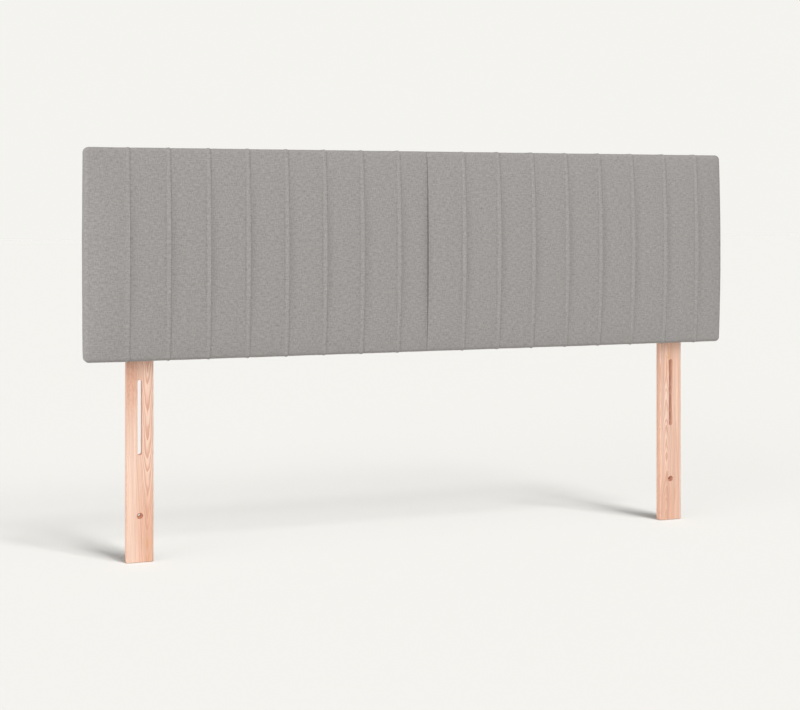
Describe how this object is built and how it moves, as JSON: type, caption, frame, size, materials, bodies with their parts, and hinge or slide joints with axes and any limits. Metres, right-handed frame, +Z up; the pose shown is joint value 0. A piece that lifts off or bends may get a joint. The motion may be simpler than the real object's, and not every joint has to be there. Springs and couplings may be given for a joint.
{
  "type": "upholstered headboard",
  "caption": "Wide, low upholstered headboard with upright tucks in grey fabric, set to height on two slotted wooden legs that bolt to a bed.",
  "frame": {"origin": "on the floor under the middle of the headboard: the centre of the bounding box at its lowest height, with the panel in the middle of its travel", "axes": "+X along the width to the right as seen from the padded front, +Y from the padded front to the back, +Z up"},
  "size_m": [1.45, 0.0608, 0.84],
  "materials": {
    "cover_fabric": "heathered grey woven upholstery fabric, matt",
    "foam": "open-cell foam sheet, matt",
    "hardboard": "plain hardboard",
    "frame_pine": "sawn softwood, untreated",
    "leg_wood": "planed larch, bare, satin",
    "backing_cloth": "thin black non-woven cloth",
    "zinc_steel": "bright zinc plate",
    "staple_wire": "galvanised wire"
  },
  "bodies": {
    "left_leg": {"left_leg": "leg_wood"},
    "headboard": {"left_cover": "cover_fabric", "right_cover": "cover_fabric", "foam_sheet": "foam", "facing_board": "hardboard", "top_rail": "frame_pine", "bottom_rail": "frame_pine", "left_stile": "frame_pine", "right_stile": "frame_pine", "middle_upright": "frame_pine", "left_leg_batten": "frame_pine", "right_leg_batten": "frame_pine", "frame_fasteners": "zinc_steel", "board_staples": "staple_wire", "cover_staples": "staple_wire", "back_cloth": "backing_cloth", "cloth_staples": "staple_wire", "left_leg_nuts": "zinc_steel", "right_leg_nuts": "zinc_steel", "left_leg_bolts": "zinc_steel", "right_leg_bolts": "zinc_steel", "left_leg_washers": "zinc_steel", "right_leg_washers": "zinc_steel"},
    "right_leg": {"right_leg": "leg_wood"}
  },
  "joints": [
    {"name": "height_setting", "type": "slide", "parent": "left_leg", "child": "headboard", "axis": [0, 0, 1], "range_m": [-0.05, 0.05]},
    {"name": "right_leg_setting", "type": "slide", "parent": "headboard", "child": "right_leg", "axis": [0, 0, -1], "range_m": [-0.05, 0.05]}
  ],
  "couplings": [
    {"joint": "right_leg_setting", "follows": "height_setting", "ratio": 1}
  ]
}
